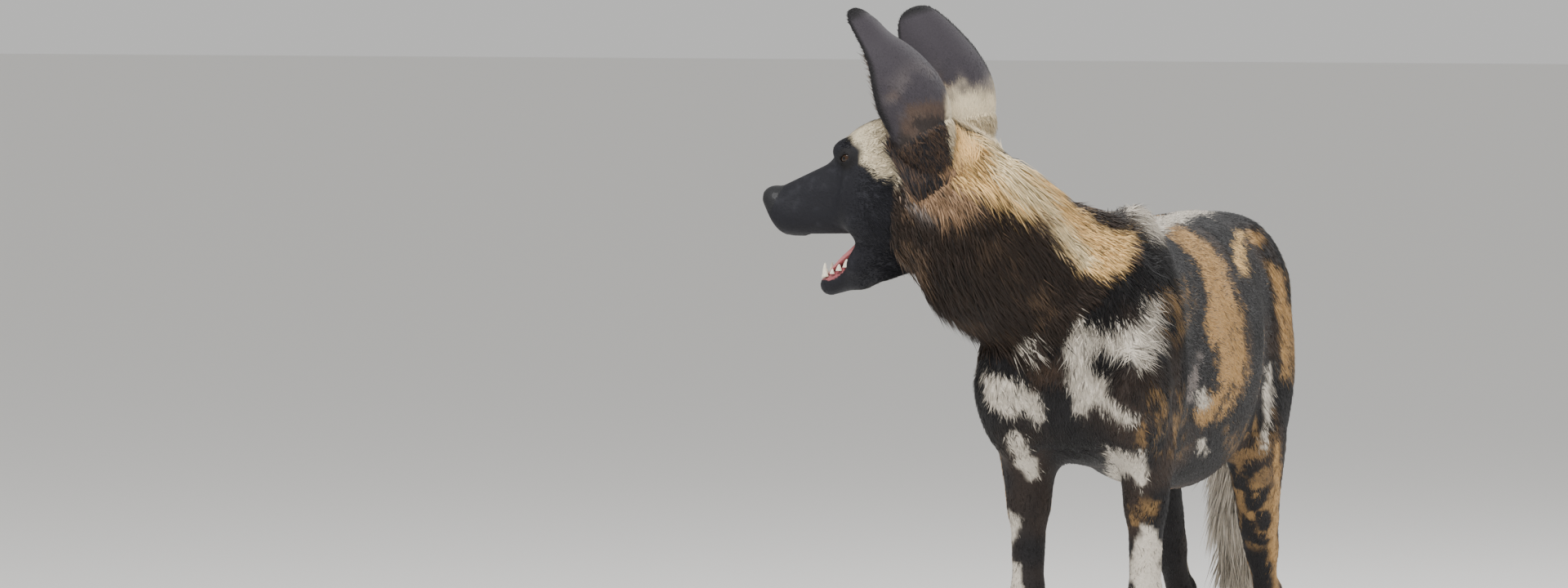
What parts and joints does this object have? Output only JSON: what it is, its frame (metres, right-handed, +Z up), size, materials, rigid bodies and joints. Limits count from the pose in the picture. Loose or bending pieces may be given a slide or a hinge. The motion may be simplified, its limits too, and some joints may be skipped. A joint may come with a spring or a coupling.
{
  "type": "african wild dog model",
  "caption": "Life-size standing model of an African wild dog with its head turned to its right, mouth open, ears up and a blotched black, tan and white coat.",
  "frame": {"origin": "on the floor, under the middle of the bounding box", "axes": "+Z up, the chest faces -Y, the dog's left side is +X"},
  "size_m": [0.4844, 0.917, 0.9461],
  "materials": {
    "coat": "short matte fur, black with tan and white blotches",
    "mane": "long matte fur, tan above and brown-black below",
    "brush": "long matte fur, white",
    "ear": "thin, short dark fur",
    "eye": "glossy, dark brown",
    "nose": "moist, black",
    "tongue": "moist, pink"
  },
  "bodies": {
    "root": {"torso": "coat", "neck": "mane", "head": "coat", "lower_jaw": "coat", "tongue": "tongue", "nose": "nose", "ear_left": "ear", "ear_right": "ear", "eye_left": "eye", "eye_right": "eye", "tail": "brush", "front_left_upper": "coat", "front_left_lower": "coat", "front_left_paw": "coat", "hind_left_upper": "coat", "hind_left_lower": "coat", "hind_left_paw": "coat", "front_right_upper": "coat", "front_right_lower": "coat", "front_right_paw": "coat", "hind_right_upper": "coat", "hind_right_lower": "coat", "hind_right_paw": "coat"}
  },
  "joints": []
}
